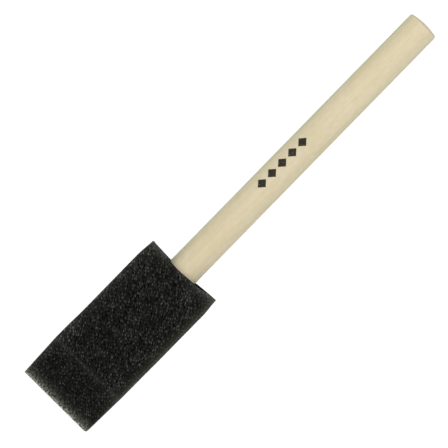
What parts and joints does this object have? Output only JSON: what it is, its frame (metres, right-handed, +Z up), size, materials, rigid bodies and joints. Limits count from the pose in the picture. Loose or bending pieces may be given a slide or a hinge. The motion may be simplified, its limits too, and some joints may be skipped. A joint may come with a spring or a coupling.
{
  "type": "foam brush",
  "caption": "Bevelled black foam paint brush head on a round bare-wood dowel handle, stiffened inside by a plastic blade.",
  "frame": {"origin": "bottom centre of the whole brush as it lies on its back face", "axes": "+X runs along the handle towards the butt end, +Y across the head, +Z up out of the head's front face"},
  "size_m": [0.153, 0.0254, 0.0125],
  "materials": {
    "wood": "bare, finely sanded, matt",
    "blade_plastic": "moulded, satin",
    "steel_wire": "drawn wire",
    "adhesive": "cured hot melt, satin",
    "foam": "open-cell foam, cut, matt"
  },
  "bodies": {
    "root": {"handle_dowel": "wood", "stiffener_blade": "blade_plastic", "blade_staple": "steel_wire", "glue_film_front": "adhesive", "glue_film_rear": "adhesive", "glue_collar": "adhesive", "foam_head": "foam"}
  },
  "joints": []
}
